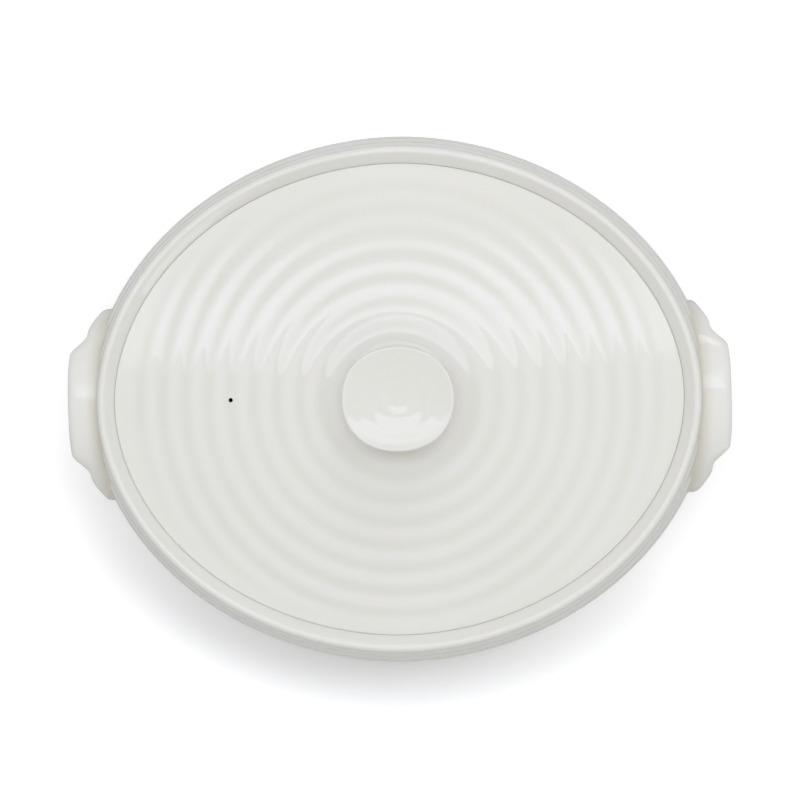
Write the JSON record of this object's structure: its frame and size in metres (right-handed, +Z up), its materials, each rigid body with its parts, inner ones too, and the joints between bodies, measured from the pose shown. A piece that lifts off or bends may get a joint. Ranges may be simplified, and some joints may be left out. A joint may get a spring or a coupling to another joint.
{
  "type": "covered casserole dish",
  "caption": "Oval covered casserole in white glazed porcelain: rippled belly and lid, lug handles at both ends, a dished knob and a steam vent.",
  "frame": {"origin": "on the table under the middle of the dish", "axes": "+X along the dish's length towards the right handle, +Z up, -Y towards the cook"},
  "size_m": [0.3558, 0.287, 0.1288],
  "materials": {
    "dish": "gloss white glaze, unglazed foot ring",
    "handles": "gloss white glaze",
    "lid": "gloss white glaze",
    "lid_knob": "gloss white glaze"
  },
  "bodies": {
    "dish": {"dish": "dish", "left_handle": "handles", "right_handle": "handles"},
    "lid": {"lid": "lid", "lid_knob": "lid_knob"}
  },
  "joints": [
    {"name": "lid_lift", "type": "slide", "parent": "dish", "child": "lid", "axis": [0, 0, 1], "range_m": [0, 0.12]}
  ]
}
